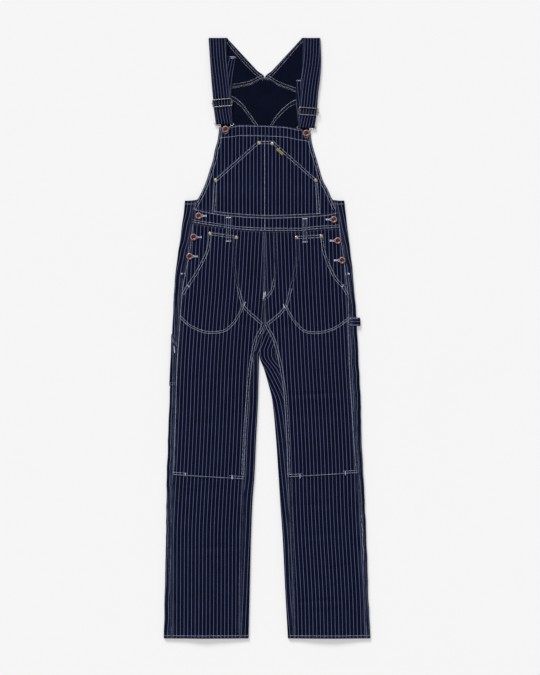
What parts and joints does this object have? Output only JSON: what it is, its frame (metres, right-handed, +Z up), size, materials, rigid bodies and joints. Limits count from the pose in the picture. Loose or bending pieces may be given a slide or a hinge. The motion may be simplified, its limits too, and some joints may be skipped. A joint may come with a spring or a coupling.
{
  "type": "dungarees",
  "caption": "Dungarees in dark striped denim, laid flat: bib with pocket, wide straps on wire hooks, side buttons, doubled thighs and loops.",
  "frame": {"origin": "centre of the bounding box in X and Y, on the surface the garment lies on", "axes": "+Z up from the surface, out of the front of the garment; +Y from the hems towards the shoulders; +X towards the wearer's left"},
  "size_m": [0.527, 1.5301, 0.0188],
  "materials": {
    "striped_denim": "indigo denim with a thin pale stripe every 9.4 mm, off-white topstitching",
    "hook_steel": "worn nickel-plated wire",
    "button_copper": "antique copper",
    "rivet_brass": "satin pale brass",
    "tab_weave": "woven olive tape"
  },
  "bodies": {
    "root": {"trouser_front_right": "striped_denim", "trouser_front_left": "striped_denim", "trouser_back_right": "striped_denim", "trouser_back_left": "striped_denim", "double_front_right": "striped_denim", "double_front_left": "striped_denim", "side_underlap_right": "striped_denim", "side_underlap_left": "striped_denim", "waistband": "striped_denim", "bib": "striped_denim", "bib_pocket": "striped_denim", "back_yoke": "striped_denim", "strap_right": "striped_denim", "strap_left": "striped_denim", "belt_loop_right": "striped_denim", "belt_loop_left": "striped_denim", "hammer_loop": "striped_denim", "tool_pocket": "striped_denim", "bib_hook_right": "hook_steel", "bib_hook_left": "hook_steel", "buckle_frame_right": "hook_steel", "buckle_frame_left": "hook_steel", "buckle_bar_right": "hook_steel", "buckle_bar_left": "hook_steel", "bib_button_right": "button_copper", "bib_button_left": "button_copper", "side_button_right_1": "button_copper", "side_button_right_2": "button_copper", "side_button_right_3": "button_copper", "side_button_left_1": "button_copper", "side_button_left_2": "button_copper", "side_button_left_3": "button_copper", "rivet_bib_1": "rivet_brass", "rivet_bib_2": "rivet_brass", "rivet_bib_3": "rivet_brass", "rivet_bib_4": "rivet_brass", "rivet_pocket_1": "rivet_brass", "rivet_pocket_2": "rivet_brass", "rivet_pocket_3": "rivet_brass", "rivet_pocket_4": "rivet_brass", "pocket_tab": "tab_weave"}
  },
  "joints": []
}
